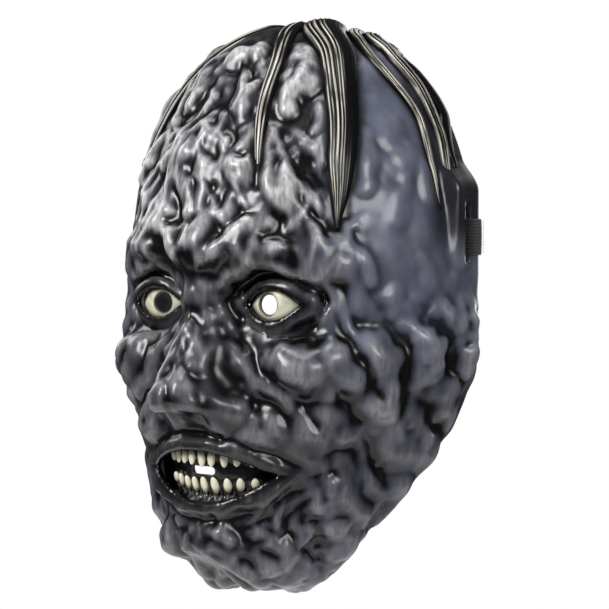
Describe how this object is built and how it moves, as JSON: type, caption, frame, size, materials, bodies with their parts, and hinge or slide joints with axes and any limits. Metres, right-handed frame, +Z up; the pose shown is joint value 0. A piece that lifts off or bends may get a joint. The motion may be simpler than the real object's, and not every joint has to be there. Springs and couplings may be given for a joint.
{
  "type": "moulded monster face mask",
  "caption": "Full-face monster mask: a thin moulded shell with pinhole eyes, a toothed mouth with a breathing slot, foam pads and an elastic head strap.",
  "frame": {"origin": "on the mask's middle plane, at eye height, in the flat plane of the rear rim, where the wearer's head comes in", "axes": "+Z up, -Y the way the face looks, +X the wearer's left"},
  "size_m": [0.1946, 0.1844, 0.29],
  "materials": {
    "vinyl": "painted semi-gloss, slate black with grey highlights",
    "eye": "satin cream paint",
    "gum": "gloss black",
    "tooth": "satin ivory paint",
    "elastic": "knitted black elastic",
    "thread": "black polyester thread",
    "foam": "soft black foam"
  },
  "bodies": {
    "face": {"brow_pad": "foam", "face_shell": "vinyl", "gum_tray": "gum", "left_cheek_pad": "foam", "left_eye_insert": "eye", "left_stitching": "thread", "left_strap_loop": "elastic", "lower_tooth_1": "tooth", "lower_tooth_2": "tooth", "lower_tooth_3": "tooth", "lower_tooth_4": "tooth", "lower_tooth_5": "tooth", "lower_tooth_6": "tooth", "lower_tooth_7": "tooth", "lower_tooth_8": "tooth", "lower_tooth_9": "tooth", "right_cheek_pad": "foam", "right_eye_insert": "eye", "right_stitching": "thread", "right_strap_loop": "elastic", "upper_tooth_1": "tooth", "upper_tooth_2": "tooth", "upper_tooth_3": "tooth", "upper_tooth_4": "tooth", "upper_tooth_5": "tooth", "upper_tooth_6": "tooth", "upper_tooth_7": "tooth", "upper_tooth_8": "tooth", "upper_tooth_9": "tooth"},
    "strap_arms": {"left_strap_arm": "elastic", "right_strap_arm": "elastic"},
    "strap_middle": {"strap_back": "elastic"}
  },
  "joints": [
    {"name": "strap_swing", "type": "hinge", "parent": "face", "child": "strap_arms", "pos_m": [0, 0.0095, 0.031], "axis": [1, 0, 0], "range_deg": [0, 70]},
    {"name": "strap_stretch", "type": "slide", "parent": "strap_arms", "child": "strap_middle", "axis": [0, 0.9063, -0.4226], "range_m": [0, 0.07], "stiffness_N_per_m": 150}
  ]
}
